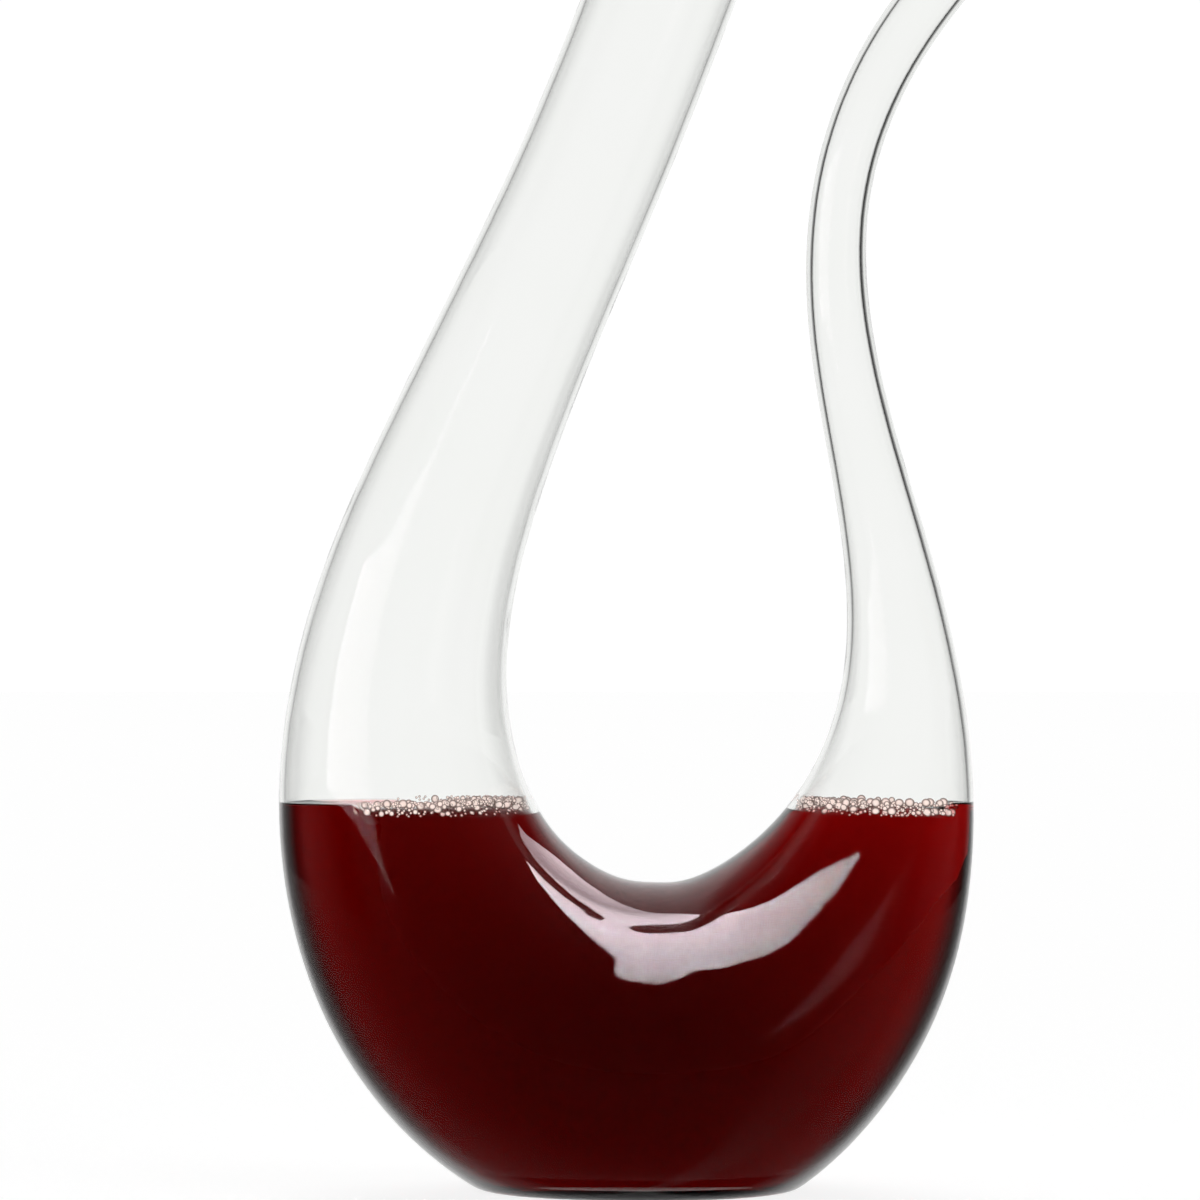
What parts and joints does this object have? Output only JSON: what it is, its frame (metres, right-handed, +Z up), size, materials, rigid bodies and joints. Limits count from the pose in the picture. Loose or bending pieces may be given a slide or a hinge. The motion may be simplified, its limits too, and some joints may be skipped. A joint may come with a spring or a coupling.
{
  "type": "wine decanter",
  "caption": "U-shaped blown glass decanter with a wide filling limb and a slender curved pouring limb over a flat-bottomed bowl, part filled with red wine topped by froth.",
  "frame": {"origin": "middle of the flat face that the decanter stands on", "axes": "+Z up, +X from the wide limb towards the pouring limb, +Y to the back, square to the plane of the U"},
  "size_m": [0.1966, 0.0964, 0.3499],
  "materials": {
    "clear_glass": "gloss",
    "red_wine": "gloss",
    "froth": "satin"
  },
  "bodies": {
    "root": {"glass_vessel": "clear_glass", "wine": "red_wine", "froth_wide_limb": "froth", "froth_pouring_limb": "froth"}
  },
  "joints": []
}
